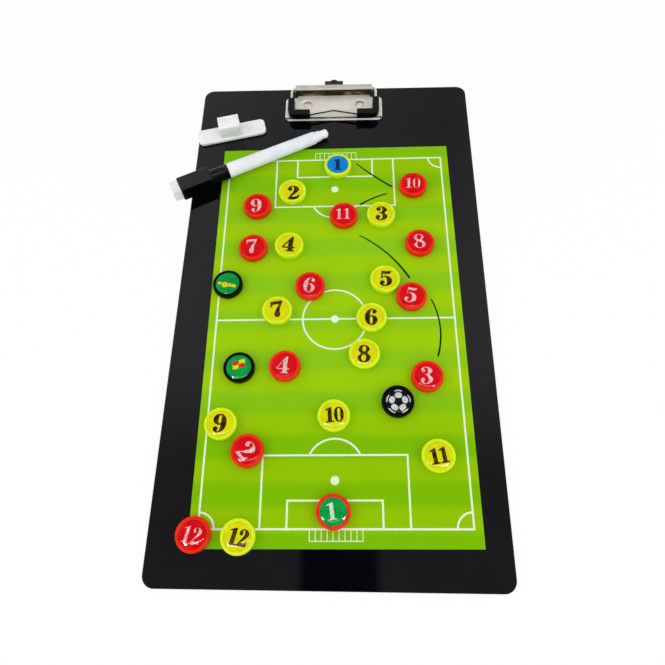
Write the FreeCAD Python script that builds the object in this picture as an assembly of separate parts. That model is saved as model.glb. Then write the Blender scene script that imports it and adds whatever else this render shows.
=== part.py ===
import FreeCAD, Part
import math
import os

# A football coach's tactics board, in millimetres: a clipboard with a steel sheet under a printed
# pitch, magnetic counters, a spring clip, a marker pen and a loose pen holder.
# The origin is the centre of the board's back face. +Y points to the clip, +Z out of the pitch.

V = FreeCAD.Vector
X_AXIS = V(1, 0, 0)
Y_AXIS = V(0, 1, 0)
Z_AXIS = V(0, 0, 1)

# Board
BOARD_WIDTH = 228.0
BOARD_LENGTH = 400.0
BOARD_CORNER = 8.0
BACK_THICKNESS = 2.0
FACE_THICKNESS = 1.2
FACE_EDGE = 0.5
STEEL_THICKNESS = 0.4
STEEL_MARGIN = 9.0
STEEL_TOP_MARGIN = 62.0

# Printed pitch, turned a little on the board as the real print is
FIELD_WIDTH = 173.0
FIELD_LENGTH = 287.0
PRINT_SIDE_MARGIN = 5.8
PRINT_END_MARGIN = 11.6
PRINT_THICKNESS = 0.2
PRINT_TURN = 0.6
PITCH_X = 3.0
PITCH_FROM_TOP = 221.2

# Counters
COUNTER_DIAMETER = 22.0
COUNTER_HEIGHT = 4.6
COUNTER_RIM_ROUND = 0.9
COUNTER_FLOOR = 1.4
LABEL_DIAMETER = 17.4
LABEL_THICKNESS = 0.25
LABEL_CROWN = 0.8
LABEL_RECESS = 0.55
FERRITE_DIAMETER = 17.0
FERRITE_RECESS = 0.05
COUNTER_FIT = 0.05

# Clip tray, and the hang tab welded to its rear wall
TRAY_WIDTH = 82.8
TRAY_LENGTH = 23.1
TRAY_HEIGHT = 2.7
TRAY_CORNER = 3.5
TRAY_REAR_CORNER = 2.0
TRAY_SHEET = 0.8
TRAY_EDGE = 0.7
TRAY_FRONT_SLOPE = 1.5
TRAY_REAR_WIDTH = 62.0
TRAY_REAR_LENGTH = 8.6
TRAY_FROM_TOP = 12.6
TAB_WIDTH = 15.8
TAB_SHEET = 0.8
TAB_LIP = 0.6
TAB_RISE = 1.6
TAB_SHOULDER = 2.4
EYE_WALL = 2.0
HANG_HOLE_DIAMETER = 4.0
HANG_HOLE_MARGIN = 0.2

# Rivets
RIVET_SPACING = 45.4
RIVET_FROM_FRONT = 15.8
RIVET_SHANK = 3.2
RIVET_HEAD = 6.4
RIVET_HEAD_HEIGHT = 1.6
RIVET_TAIL = 5.0
RIVET_TAIL_HEIGHT = 0.5
RIVET_RECESS = 0.1
RIVET_FIT = 0.05
DIMPLE_MARGIN = 0.6
DIMPLE_SLOPE = 1.4
WASHER_DIAMETER = 7.0
WASHER_THICKNESS = 0.4

# Clip hinge, lever and spring
ROD_DIAMETER = 2.0
ROD_HEAD = 3.2
ROD_HEAD_LENGTH = 0.7
EAR_SPACING = 40.0
EAR_WALL = 1.1
ROD_FIT = 0.02
RUNNING_FIT = 0.05
LEVER_WIDTH = 65.2
LEVER_SHEET = 0.9
LEVER_FLANGE = 4.8
LEVER_RISE = 1.0
LEVER_GAP = 0.2
LEVER_FROM_REAR = 6.7
LEVER_BEND = 1.4
CHEEK_WALL = 1.5
CHEEK_ROUND = 1.4
SPRING_WIRE = 0.8
SPRING_TURNS = 4
SPRING_PITCH = 1.3
SPRING_GAP = 0.15
SPRING_WALL_GAP = 1.05
SPRING_ARM = 3.2
SPRING_FOOT = 2.6
SPRING_ARM_LEAN = 16.0

# Wire bail and its rubber grips
WIRE_DIAMETER = 2.2
BAIL_WIDTH = 71.8
BAIL_FRONT_SETBACK = 1.4
BAIL_END_LENGTH = 12.5
BAIL_SHOULDER_BEND = 3.7
BAIL_CORNER_BEND = 3.6
BAIL_GABLE_BEND = 5.0
BAIL_GABLE_RISE = 4.2
BAIL_ROD_GAP = 0.2
BAIL_FLANGE_GAP = 0.05
GRIP_WIDTH = 5.4
GRIP_HEIGHT = 6.6
GRIP_ROUND = 0.8
GRIP_SIDE_LENGTH = 14.9
GRIP_FRONT_LENGTH = 16.0
GRIP_REST_GAP = 0.1
GRIP_FIT = 0.03

# Marker pen: cap block and sleeve, barrel and tail plug follow each other along its axis
PEN_OVERHANG = 13.5
PEN_FROM_TOP = 113.95
PEN_TURN = 26.2
FELT_SIZE = 11.6
FELT_LENGTH = 6.8
FELT_ROUND = 1.2
CAP_BLOCK = 13.3
CAP_BLOCK_LENGTH = 26.6
CAP_BLOCK_ROUND = 0.9
CAP_SLEEVE_DIAMETER = 12.0
CAP_SLEEVE_LENGTH = 14.4
CAP_END_WALL = 3.0
CAP_RIB_WIDTH = 2.4
CAP_RIB_HEIGHT = 0.6
CAP_RIB_LENGTH = 11.5
BARREL_LENGTH = 76.8
BARREL_DIAMETER = 11.8
BARREL_TAIL_DIAMETER = 10.0
NECK_DIAMETER = 9.8
NECK_LENGTH = 13.0
NIB_DIAMETER = 3.2
NIB_SHOWN = 6.0
NIB_POINT = 1.2
NIB_HOLDER_LENGTH = 9.0
NIB_HOLDER_TIP = 5.2
SPIGOT_LENGTH = 5.0
RESERVOIR_DIAMETER = 6.2
RESERVOIR_END_GAP = 0.5
PLUG_COLLAR_DIAMETER = 8.4
PLUG_COLLAR_LENGTH = 4.6
PLUG_DIAMETER = 6.9
PLUG_LENGTH = 7.2
PLUG_ROUND = 1.0
PEN_FIT = 0.04

# Pen holder, lying loose beside the clip
HOLDER_LENGTH = 57.0
HOLDER_WIDTH = 15.3
HOLDER_CORNER = 4.0
HOLDER_THICKNESS = 2.1
HOLDER_EDGE = 0.6
HOLDER_PAD_THICKNESS = 0.8
HOLDER_PAD_INSET = 1.0
LOOP_LENGTH = 17.3
LOOP_WIDTH = 13.0
LOOP_HEIGHT = 11.5
LOOP_WALL = 1.5
LOOP_SETBACK = 0.2
LOOP_SHIFT = -0.7
LOOP_CORNER = 1.0
HOLDER_FROM_LEFT = 28.0
HOLDER_FROM_TOP = 48.8
HOLDER_TURN = 13.2

# What lies loose on the face stands this far off it, clear of the printed marks
REST_GAP = 0.1

# Where each counter stands, from the centre of the pitch
RED_PLACES = [
    (-0.9, -133.3), (-57.7, -95.1), (63.6, -45.0), (-34.9, -36.6), (56.0, 16.0), (-18.2, 25.6),
    (-62.5, 59.1), (64.6, 61.1), (-61.4, 97.1), (62.5, 114.5), (7.0, 87.0), (-88.5, -146.8),
]
YELLOW_PLACES = [
    (2.5, 135.1), (-33.9, 110.3), (36.1, 87.1), (-34.9, 60.5), (37.2, 30.2), (26.5, -0.4),
    (-41.9, 5.9), (20.8, -28.2), (-76.7, -77.1), (-0.6, -72.0), (67.2, -98.9), (-60.2, -148.0),
]
BLACK_PLACES = {"whistle": (-79.7, 28.1), "flag": (-66.9, -37.4), "ball": (42.6, -62.5)}

# Levels and lines that the pieces share
FACE_Z = BACK_THICKNESS + FACE_THICKNESS
BOARD_TOP = BOARD_LENGTH / 2
BOARD_LEFT = -BOARD_WIDTH / 2
PITCH_CENTRE = V(PITCH_X, BOARD_TOP - PITCH_FROM_TOP, FACE_Z)
TRAY_SHOULDER_Y = BOARD_TOP - TRAY_FROM_TOP
TRAY_FRONT_Y = TRAY_SHOULDER_Y - TRAY_LENGTH
TRAY_REAR_Y = TRAY_SHOULDER_Y + TRAY_REAR_LENGTH
TRAY_TOP_Z = FACE_Z + TRAY_HEIGHT
RIVET_Y = TRAY_FRONT_Y + RIVET_FROM_FRONT
RIVET_PLACES = [V(side * RIVET_SPACING / 2, RIVET_Y, 0) for side in (-1, 1)]
COUNTERBORE = RIVET_RECESS + RIVET_TAIL_HEIGHT + WASHER_THICKNESS
COIL_RADIUS = ROD_DIAMETER / 2 + SPRING_GAP + SPRING_WIRE / 2
WALL_Y = TRAY_REAR_Y - LEVER_FROM_REAR
ROD_Y = WALL_Y + LEVER_SHEET + SPRING_WALL_GAP + COIL_RADIUS + SPRING_WIRE / 2
ROD_Z = TRAY_TOP_Z + SPRING_GAP + COIL_RADIUS + SPRING_WIRE / 2
BAIL_Z = ROD_Z + ROD_DIAMETER / 2 + BAIL_ROD_GAP + WIRE_DIAMETER / 2
BAIL_FRONT_Z = TRAY_TOP_Z + GRIP_REST_GAP + GRIP_HEIGHT / 2
LEVER_TOP_Z = BAIL_Z + WIRE_DIAMETER / 2 + LEVER_RISE + LEVER_SHEET
BAIL_FRONT_Y = TRAY_FRONT_Y + BAIL_FRONT_SETBACK

# Stations along the pen, from the felt end
BLOCK_START = FELT_LENGTH
BLOCK_END = BLOCK_START + CAP_BLOCK_LENGTH
CAP_MOUTH = BLOCK_END + CAP_SLEEVE_LENGTH
NECK_START = CAP_MOUTH - NECK_LENGTH
BARREL_END = CAP_MOUTH + BARREL_LENGTH
BARREL_BORE = RESERVOIR_DIAMETER / 2 + PEN_FIT


def block(low, high):
    size = high - low
    return Part.makeBox(size.x, size.y, size.z, low)


def edges_along(solid, axis):
    found = []
    for edge in solid.Edges:
        run = edge.Vertexes[-1].Point - edge.Vertexes[0].Point
        if run.Length > 1e-6 and abs(run.dot(axis)) > 0.999 * run.Length:
            found.append(edge)
    return found


def edges_at_level(solid, z):
    def level(edge):
        box = edge.BoundBox
        return max(abs(box.ZMin - z), abs(box.ZMax - z)) < 1e-6

    return [edge for edge in solid.Edges if level(edge)]


def rounded_plate(width, length, bottom, top, corner):
    solid = block(V(-width / 2, -length / 2, bottom), V(width / 2, length / 2, top))
    return solid.makeFillet(corner, edges_along(solid, Z_AXIS))


def column(diameter, bottom, top, place=V(0, 0, 0)):
    return Part.makeCylinder(diameter / 2, top - bottom, V(place.x, place.y, bottom))


def dome(diameter, bottom, top, place=V(0, 0, 0)):
    # the cap of a sphere on a round foot
    rise = top - bottom
    radius = (diameter * diameter / 4 + rise * rise) / (2 * rise)
    ball = Part.makeSphere(radius, V(place.x, place.y, top - radius))
    return ball.common(column(diameter, bottom, top, place))


def bar_along_x(diameter, start, end, y, z):
    return Part.makeCylinder(diameter / 2, end - start, V(start, y, z), X_AXIS)


def turned(profile, axis):
    # profile lists (radius, distance along the axis)
    out = X_AXIS if axis == Z_AXIS else Z_AXIS
    points = [out * radius + axis * distance for radius, distance in profile]
    face = Part.Face(Part.makePolygon(points + points[:1]))
    return face.revolve(V(0, 0, 0), axis, 360)


def corner_arc(first, corner, last):
    # the arc that leaves first towards corner and comes to last from it
    back = (first - corner).normalize()
    ahead = (last - corner).normalize()
    half = back.getAngle(ahead) / 2
    reach = (first - corner).Length
    radius = reach * math.tan(half)
    middle = corner + (back + ahead).normalize() * (radius / math.sin(half) - radius)
    return Part.Arc(first, middle, last).toShape()


def rounded_path(points, bends):
    # straight runs joined by tangent arcs, with a bend radius for each inner point
    edges = []
    start = points[0]
    for before, corner, after, bend in zip(points, points[1:], points[2:], bends):
        back = (before - corner).normalize()
        ahead = (after - corner).normalize()
        reach = bend / math.tan(back.getAngle(ahead) / 2)
        first = corner + back * reach
        last = corner + ahead * reach
        edges.append(Part.LineSegment(start, first).toShape())
        edges.append(corner_arc(first, corner, last))
        start = last
    edges.append(Part.LineSegment(start, points[-1]).toShape())
    return Part.Wire(edges)


def round_section(path, diameter):
    first = path.Edges[0]
    start = first.valueAt(first.FirstParameter)
    circle = Part.Circle(start, first.tangentAt(first.FirstParameter), diameter / 2)
    return Part.Wire(circle.toShape())


def swept(path, section):
    return path.makePipeShell([section], True, False)


def moved(shape, place):
    copy = shape.copy()
    copy.Placement = place.multiply(copy.Placement)
    return copy


def on_pitch(x, y, height=0.0):
    turn = FreeCAD.Rotation(Z_AXIS, PRINT_TURN)
    return FreeCAD.Placement(PITCH_CENTRE + turn.multVec(V(x, y, height)), turn)


def export(name, *solids):
    shape = solids[0] if len(solids) == 1 else Part.makeCompound(list(solids))
    shape.exportStep(os.path.join("parts", name + ".step"))


# Board layers

def steel_outline(bottom, top):
    low = V(BOARD_LEFT + STEEL_MARGIN, -BOARD_TOP + STEEL_MARGIN, bottom)
    return block(low, V(-BOARD_LEFT - STEEL_MARGIN, BOARD_TOP - STEEL_TOP_MARGIN, top))


def print_outline(bottom, top):
    width = FIELD_WIDTH + 2 * PRINT_SIDE_MARGIN
    length = FIELD_LENGTH + 2 * PRINT_END_MARGIN
    film = block(V(-width / 2, -length / 2, bottom), V(width / 2, length / 2, top))
    return moved(film, on_pitch(0, 0))


def build_board():
    back = rounded_plate(BOARD_WIDTH, BOARD_LENGTH, 0, BACK_THICKNESS, BOARD_CORNER)
    face = rounded_plate(BOARD_WIDTH, BOARD_LENGTH, BACK_THICKNESS, FACE_Z, BOARD_CORNER)
    face = face.makeFillet(FACE_EDGE, edges_at_level(face, FACE_Z))
    steel = steel_outline(BACK_THICKNESS - STEEL_THICKNESS, BACK_THICKNESS)
    film = print_outline(-PRINT_THICKNESS, 0)
    back = back.cut(steel)
    face = face.cut(film)
    for place in RIVET_PLACES:
        hole = column(RIVET_SHANK + 2 * RIVET_FIT, 0, FACE_Z, place)
        back = back.cut([hole, column(WASHER_DIAMETER + 2 * RIVET_FIT, 0, COUNTERBORE, place)])
        face = face.cut(hole)
    export("back_board", back)
    export("steel_sheet", steel)
    export("face_sheet", face)
    export("pitch_print", film)


# Clip

def tray_block(inset, bottom, top):
    wide = TRAY_WIDTH / 2 - inset
    narrow = TRAY_REAR_WIDTH / 2 - inset
    front = TRAY_FRONT_Y + inset
    shoulder = TRAY_SHOULDER_Y - inset
    rear = TRAY_REAR_Y - inset
    corners = [(wide, front), (wide, shoulder), (narrow, shoulder), (narrow, rear)]
    right = [V(x, y, bottom) for x, y in corners]
    left = [V(-x, y, bottom) for x, y in reversed(corners)]
    solid = Part.Face(Part.makePolygon(right + left + right[:1])).extrude(V(0, 0, top - bottom))

    def uprights(x):
        return [edge for edge in edges_along(solid, Z_AXIS) if abs(abs(edge.Vertexes[0].X) - x) < 1e-6]

    solid = solid.makeFillet(TRAY_CORNER - inset, uprights(wide))
    solid = solid.makeFillet(TRAY_REAR_CORNER - inset, uprights(narrow))
    foot = V(-wide, front, FACE_Z)
    lean = [foot, foot + V(0, TRAY_FRONT_SLOPE, TRAY_HEIGHT), foot + V(0, 0, TRAY_HEIGHT), foot]
    return solid.cut(Part.Face(Part.makePolygon(lean)).extrude(X_AXIS * 2 * wide))


def build_hang_tab():
    # a flat tab with an eye, a foot against the tray's rear wall and a lip turned down round the eye
    eye = V(0, BOARD_TOP + HANG_HOLE_MARGIN + HANG_HOLE_DIAMETER / 2, 0)
    top = TRAY_TOP_Z + TAB_RISE
    under = top - TAB_SHEET
    half = TAB_WIDTH / 2
    foot = block(V(-half, TRAY_REAR_Y, FACE_Z), V(half, TRAY_REAR_Y + TAB_SHEET, top))
    strip = block(V(-half, TRAY_REAR_Y, under), V(half, eye.y + TAB_SHOULDER, top))
    reach = HANG_HOLE_DIAMETER / 2 + EYE_WALL
    rim = column(2 * reach, TAB_LIP, top, eye)
    rim = rim.cut(column(2 * (reach - TAB_SHEET), TAB_LIP, under, eye))
    rim = rim.cut(block(eye - V(reach, reach, 0), eye + V(reach, 0, under)))
    tab = strip.fuse([foot, rim]).removeSplitter()
    return tab.cut(column(HANG_HOLE_DIAMETER, TAB_LIP, top, eye))


def rivet_dimple(place):
    floor = RIVET_HEAD / 2 + DIMPLE_MARGIN
    mouth = floor + DIMPLE_SLOPE
    under = TRAY_HEIGHT - TRAY_SHEET
    hole = RIVET_SHANK / 2 + RIVET_FIT
    outside = [(floor + TRAY_SHEET, 0), (mouth + TRAY_SHEET, under), (mouth + TRAY_SHEET, TRAY_HEIGHT)]
    profile = [(hole, 0)] + outside + [(mouth, TRAY_HEIGHT), (floor, TRAY_SHEET), (hole, TRAY_SHEET)]
    ring = turned(profile, Z_AXIS)
    ring.translate(V(place.x, place.y, FACE_Z))
    opening = column(2 * mouth, TRAY_TOP_Z - TRAY_SHEET, TRAY_TOP_Z, place)
    return ring, opening


def hinge_ear(x):
    half = ROD_DIAMETER / 2 + EAR_WALL
    foot = block(V(x, ROD_Y - half, TRAY_TOP_Z - TRAY_SHEET), V(x + TRAY_SHEET, ROD_Y + half, ROD_Z))
    return foot.fuse(bar_along_x(2 * half, x, x + TRAY_SHEET, ROD_Y, ROD_Z))


def build_tray():
    tray = tray_block(0, FACE_Z, TRAY_TOP_Z)
    tray = tray.makeFillet(TRAY_EDGE, edges_at_level(tray, TRAY_TOP_Z))
    tray = tray.cut(tray_block(TRAY_SHEET, FACE_Z, TRAY_TOP_Z - TRAY_SHEET))
    added = []
    for place in RIVET_PLACES:
        ring, opening = rivet_dimple(place)
        tray = tray.cut(opening)
        added.append(ring)
    for side in (-1, 1):
        added.append(hinge_ear(side * EAR_SPACING / 2 - TRAY_SHEET / 2))
    tray = tray.fuse(added).removeSplitter()
    rod_hole = bar_along_x(ROD_DIAMETER + 2 * ROD_FIT, -EAR_SPACING, EAR_SPACING, ROD_Y, ROD_Z)
    return tray.cut(rod_hole)


def build_lever():
    half = LEVER_WIDTH / 2
    foot = TRAY_TOP_Z + LEVER_GAP
    under = LEVER_TOP_Z - LEVER_SHEET
    wall = block(V(-half, WALL_Y, foot), V(half, WALL_Y + LEVER_SHEET, LEVER_TOP_Z))
    flange = block(V(-half, WALL_Y, under), V(half, WALL_Y + LEVER_FLANGE, LEVER_TOP_Z))
    reach = max(ROD_DIAMETER, WIRE_DIAMETER) / 2 + CHEEK_WALL
    cheeks = []
    for x in (-half, half - LEVER_SHEET):
        cheek = block(V(x, WALL_Y, foot), V(x + LEVER_SHEET, ROD_Y + reach, LEVER_TOP_Z))
        rear = [e for e in edges_along(cheek, X_AXIS) if e.Vertexes[0].Y > ROD_Y]
        cheeks.append(cheek.makeFillet(CHEEK_ROUND, rear))
    lever = wall.fuse([flange] + cheeks).removeSplitter()
    bend = [e for e in edges_at_level(lever, LEVER_TOP_Z) if abs(e.BoundBox.YMax - WALL_Y) < 1e-6]
    lever = lever.makeFillet(LEVER_BEND, bend)
    rod_hole = bar_along_x(ROD_DIAMETER + 2 * RUNNING_FIT, -half, half, ROD_Y, ROD_Z)
    wire_hole = bar_along_x(WIRE_DIAMETER + 2 * BAIL_FLANGE_GAP, -half, half, ROD_Y, BAIL_Z)
    return lever.cut([rod_hole, wire_hole])


def build_rod():
    half = LEVER_WIDTH / 2 + RUNNING_FIT
    rod = bar_along_x(ROD_DIAMETER, -half, half, ROD_Y, ROD_Z)
    starts = (-half - ROD_HEAD_LENGTH, half)
    return rod.fuse([bar_along_x(ROD_HEAD, x, x + ROD_HEAD_LENGTH, ROD_Y, ROD_Z) for x in starts])


def biarc(start, leaving, end, arriving):
    # two arcs that leave start along one direction and come to end along another
    chord = end - start
    spread = 2 * (1 - leaving.dot(arriving))
    pull = chord.dot(leaving + arriving)
    reach = (math.sqrt(pull * pull + spread * chord.dot(chord)) - pull) / spread
    first = start + leaving * reach
    second = end - arriving * reach
    joint = (first + second) * 0.5
    return [corner_arc(start, first, joint), corner_arc(joint, second, end)]


def spring_path():
    start = math.radians(180 + SPRING_ARM_LEAN)
    end = math.radians(270 + 360 * SPRING_TURNS)
    climb = SPRING_PITCH / (2 * math.pi)

    def point(angle):
        x = climb * (angle - (start + end) / 2)
        return V(x, ROD_Y + COIL_RADIUS * math.cos(angle), ROD_Z + COIL_RADIUS * math.sin(angle))

    def heading(angle):
        return V(climb, -COIL_RADIUS * math.sin(angle), COIL_RADIUS * math.cos(angle)).normalize()

    halves = math.ceil((end - start) / math.pi)
    angles = [start + (end - start) * n / halves for n in range(halves + 1)]
    arm = Part.LineSegment(point(start) - heading(start) * SPRING_ARM, point(start)).toShape()
    foot = Part.LineSegment(point(end), point(end) + heading(end) * SPRING_FOOT).toShape()
    edges = [arm]
    for here, there in zip(angles, angles[1:]):
        edges += biarc(point(here), heading(here), point(there), heading(there))
    return Part.Wire(edges + [foot])


def build_spring():
    path = spring_path()
    points = path.discretize(Distance=SPRING_WIRE / 4)
    half_turn = round(math.pi * COIL_RADIUS / (SPRING_WIRE / 4))
    least = min((a - b).Length for i, a in enumerate(points) for b in points[i + half_turn:])
    print("spring: least gap between turns", round(least - SPRING_WIRE, 2), "mm")
    return swept(path, round_section(path, SPRING_WIRE))


def bail_points(side):
    # from the end held in the lever to the middle of the front run, on one side
    wide = side * BAIL_WIDTH / 2
    held = side * (BAIL_WIDTH / 2 - BAIL_END_LENGTH)
    inner = side * (BAIL_WIDTH / 2 - GRIP_FRONT_LENGTH)
    return [
        V(held, ROD_Y, BAIL_Z), V(wide, ROD_Y, BAIL_Z), V(wide, BAIL_FRONT_Y, BAIL_FRONT_Z),
        V(inner, BAIL_FRONT_Y, BAIL_FRONT_Z), V(0, BAIL_FRONT_Y + BAIL_GABLE_RISE, BAIL_FRONT_Z),
    ]


def build_bail():
    left, right = bail_points(-1), bail_points(1)
    bends = [BAIL_SHOULDER_BEND, BAIL_CORNER_BEND, BAIL_GABLE_BEND]
    path = rounded_path(left + right[-2::-1], bends + [BAIL_GABLE_BEND] + bends[::-1])
    return swept(path, round_section(path, WIRE_DIAMETER))


def grip_section(start, heading):
    across = Z_AXIS.cross(heading).normalize()
    up = heading.cross(across)
    wide = across * (GRIP_WIDTH / 2)
    high = up * (GRIP_HEIGHT / 2)
    corners = [start + wide + high, start - wide + high, start - wide - high, start + wide - high]
    bar = Part.Face(Part.makePolygon(corners + corners[:1])).extrude(heading)
    lengthwise = edges_along(bar, heading)
    rounded = bar.makeFillet(GRIP_ROUND, lengthwise)
    end = min(rounded.Faces, key=lambda face: (face.CenterOfMass - start).Length)
    return end.OuterWire


def build_grip(side):
    _, shoulder, corner, inner, _ = bail_points(side)
    back = (shoulder - corner).normalize()
    points = [corner + back * GRIP_SIDE_LENGTH, corner, inner]
    path = rounded_path(points, [BAIL_CORNER_BEND])
    first = path.Edges[0]
    heading = first.tangentAt(first.FirstParameter)
    grip = swept(path, grip_section(points[0], heading))
    return grip.cut(swept(path, round_section(path, WIRE_DIAMETER + 2 * GRIP_FIT)))


def build_rivets():
    seat = FACE_Z + TRAY_SHEET
    washer_low = COUNTERBORE - WASHER_THICKNESS
    rivets, washers = [], []
    for place in RIVET_PLACES:
        head = dome(RIVET_HEAD, seat, seat + RIVET_HEAD_HEIGHT, place)
        shank = column(RIVET_SHANK, RIVET_RECESS, seat, place)
        tail = column(RIVET_TAIL, RIVET_RECESS, washer_low, place)
        rivets.append(head.fuse([shank, tail]).removeSplitter())
        washer = column(WASHER_DIAMETER, washer_low, COUNTERBORE, place)
        washers.append(washer.cut(column(RIVET_SHANK + 2 * RIVET_FIT, washer_low, COUNTERBORE, place)))
    return rivets, washers


def build_clip():
    rivets, washers = build_rivets()
    export("clip_base_plate", build_tray())
    export("clip_hang_tab", build_hang_tab())
    export("clip_lever", build_lever())
    export("clip_hinge_rod", build_rod())
    export("clip_torsion_spring", build_spring())
    export("clip_wire_bail", build_bail())
    export("clip_grip_left", build_grip(-1))
    export("clip_grip_right", build_grip(1))
    export("clip_rivets", *rivets)
    export("clip_rivet_washers", *washers)


# Marker pen, modelled along +X from its felt end and then laid on the board

def pen_place():
    # the pen rests on the near edge of its cap block and on the tail of its barrel
    drop = (CAP_BLOCK - BARREL_TAIL_DIAMETER) / 2
    tilt = math.atan2(drop, BARREL_END - BLOCK_END)
    height = BLOCK_END * math.sin(tilt) + CAP_BLOCK / 2 * math.cos(tilt)
    start = V(BOARD_LEFT - PEN_OVERHANG, BOARD_TOP - PEN_FROM_TOP, FACE_Z + REST_GAP + height)
    turn = FreeCAD.Rotation(Z_AXIS, PEN_TURN).multiply(FreeCAD.Rotation(Y_AXIS, math.degrees(tilt)))
    return FreeCAD.Placement(start, turn)


def square_bar(size, start, end):
    return block(V(start, -size / 2, -size / 2), V(end, size / 2, size / 2))


def build_felt():
    felt = square_bar(FELT_SIZE, 0, FELT_LENGTH)
    lengthwise = edges_along(felt, X_AXIS)
    return felt.makeFillet(FELT_ROUND, lengthwise)


def build_cap():
    body = square_bar(CAP_BLOCK, BLOCK_START, BLOCK_END)
    body = body.makeFillet(CAP_BLOCK_ROUND, body.Edges)
    sleeve = bar_along_x(CAP_SLEEVE_DIAMETER, BLOCK_END - CAP_BLOCK_ROUND, CAP_MOUTH, 0, 0)
    rib_foot = CAP_SLEEVE_DIAMETER / 2 - CAP_RIB_HEIGHT
    rib_top = CAP_SLEEVE_DIAMETER / 2 + CAP_RIB_HEIGHT
    half = CAP_RIB_WIDTH / 2
    tip = BLOCK_END + CAP_RIB_LENGTH
    rib = block(V(BLOCK_END - CAP_BLOCK_ROUND, -half, rib_foot), V(tip, half, rib_top))
    tip_edges = [edge for edge in edges_at_level(rib, rib_top) if abs(edge.BoundBox.XMin - tip) < 1e-6]
    rib = rib.makeFillet(CAP_RIB_HEIGHT, tip_edges)
    bore = bar_along_x(NECK_DIAMETER + 2 * PEN_FIT, BLOCK_START + CAP_END_WALL, CAP_MOUTH, 0, 0)
    return body.fuse([sleeve, rib]).removeSplitter().cut(bore)


def build_barrel():
    step = CAP_MOUTH + PEN_FIT
    neck = [(BARREL_BORE, NECK_START), (NECK_DIAMETER / 2, NECK_START), (NECK_DIAMETER / 2, step)]
    grip = [(BARREL_DIAMETER / 2, step), (BARREL_TAIL_DIAMETER / 2, BARREL_END), (BARREL_BORE, BARREL_END)]
    return turned(neck + grip, X_AXIS)


def build_nib_holder():
    bore = NIB_DIAMETER / 2 + PEN_FIT
    spigot = BARREL_BORE - PEN_FIT
    tip = NECK_START - NIB_HOLDER_LENGTH
    end = NECK_START + SPIGOT_LENGTH
    cone = [(bore, tip), (NIB_HOLDER_TIP / 2, tip), (NECK_DIAMETER / 2 - PEN_FIT, NECK_START)]
    return turned(cone + [(spigot, NECK_START), (spigot, end), (bore, end)], X_AXIS)


def build_nib():
    tip = NECK_START - NIB_HOLDER_LENGTH - NIB_SHOWN
    half = NIB_DIAMETER / 2
    profile = [
        (0, tip), (half / 2, tip), (half, tip + NIB_POINT),
        (half, NECK_START + SPIGOT_LENGTH), (0, NECK_START + SPIGOT_LENGTH),
    ]
    return turned(profile, X_AXIS)


def build_reservoir():
    start = NECK_START + SPIGOT_LENGTH + PEN_FIT
    end = BARREL_END - SPIGOT_LENGTH - RESERVOIR_END_GAP
    return bar_along_x(RESERVOIR_DIAMETER, start, end, 0, 0)


def build_plug():
    spigot = BARREL_BORE - PEN_FIT
    collar = BARREL_END + PLUG_COLLAR_LENGTH
    end = collar + PLUG_LENGTH
    half = PLUG_DIAMETER / 2
    profile = [
        (0, BARREL_END - SPIGOT_LENGTH), (spigot, BARREL_END - SPIGOT_LENGTH), (spigot, BARREL_END),
        (PLUG_COLLAR_DIAMETER / 2, BARREL_END), (PLUG_COLLAR_DIAMETER / 2, collar), (half, collar),
        (half, end - PLUG_ROUND), (half - PLUG_ROUND, end), (0, end),
    ]
    return turned(profile, X_AXIS)


def build_pen():
    pieces = {
        "pen_eraser_felt": build_felt(),
        "pen_cap": build_cap(),
        "pen_barrel": build_barrel(),
        "pen_nib_holder": build_nib_holder(),
        "pen_nib": build_nib(),
        "pen_ink_reservoir": build_reservoir(),
        "pen_end_plug": build_plug(),
    }
    place = pen_place()
    for name, solid in pieces.items():
        export(name, moved(solid, place))


# Pen holder

def build_holder():
    top = HOLDER_PAD_THICKNESS + HOLDER_THICKNESS
    pad_length = HOLDER_LENGTH - 2 * HOLDER_PAD_INSET
    pad_width = HOLDER_WIDTH - 2 * HOLDER_PAD_INSET
    pad = rounded_plate(pad_length, pad_width, 0, HOLDER_PAD_THICKNESS, HOLDER_CORNER - HOLDER_PAD_INSET)
    strip = rounded_plate(HOLDER_LENGTH, HOLDER_WIDTH, HOLDER_PAD_THICKNESS, top, HOLDER_CORNER)
    strip = strip.makeFillet(HOLDER_EDGE, edges_at_level(strip, top))
    back = HOLDER_WIDTH / 2 - LOOP_SETBACK - HOLDER_EDGE
    front = back - LOOP_WIDTH
    crown = top + LOOP_HEIGHT
    low = V(LOOP_SHIFT - LOOP_LENGTH / 2, front, HOLDER_PAD_THICKNESS)
    loop = block(low, V(LOOP_SHIFT + LOOP_LENGTH / 2, back, crown))
    loop = loop.makeFillet(LOOP_CORNER, [e for e in edges_along(loop, X_AXIS) if e.Vertexes[0].Z > top])
    tunnel_low = V(-LOOP_LENGTH, front + LOOP_WALL, top)
    tunnel = block(tunnel_low, V(LOOP_LENGTH, back - LOOP_WALL, crown - LOOP_WALL))
    holder = strip.fuse(loop).removeSplitter().cut(tunnel)
    centre = V(BOARD_LEFT + HOLDER_FROM_LEFT, BOARD_TOP - HOLDER_FROM_TOP, FACE_Z + REST_GAP)
    place = FreeCAD.Placement(centre, FreeCAD.Rotation(Z_AXIS, HOLDER_TURN))
    export("pen_holder", moved(holder, place))
    export("pen_holder_pad", moved(pad, place))


# Counters

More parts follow.
